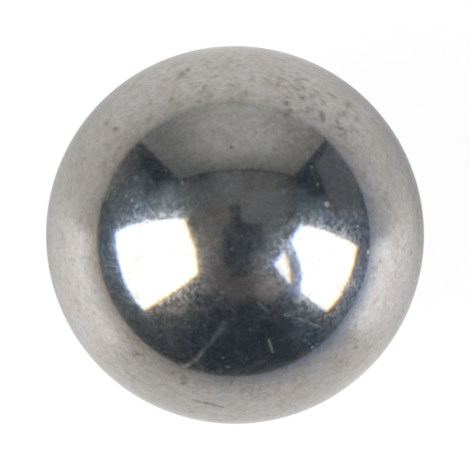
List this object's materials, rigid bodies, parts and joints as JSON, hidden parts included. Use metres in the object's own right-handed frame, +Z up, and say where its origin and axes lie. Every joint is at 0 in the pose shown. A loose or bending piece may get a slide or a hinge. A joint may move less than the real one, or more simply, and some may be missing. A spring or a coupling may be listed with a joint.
{
  "type": "steel ball",
  "caption": "Solid steel ball: one true sphere, ground and polished to a mirror, with light pitting and scratches from handling.",
  "frame": {"origin": "centre of the ball", "axes": "+Z up, away from the surface that the ball lies on; every diameter is the same, so +X and +Y are free"},
  "size_m": [0.016, 0.016, 0.016],
  "materials": {
    "polished_steel": "ground and lapped to a mirror, bare, with fine handling scratches, small pits and faint haze"
  },
  "bodies": {
    "root": {"ball": "polished_steel"}
  },
  "joints": []
}
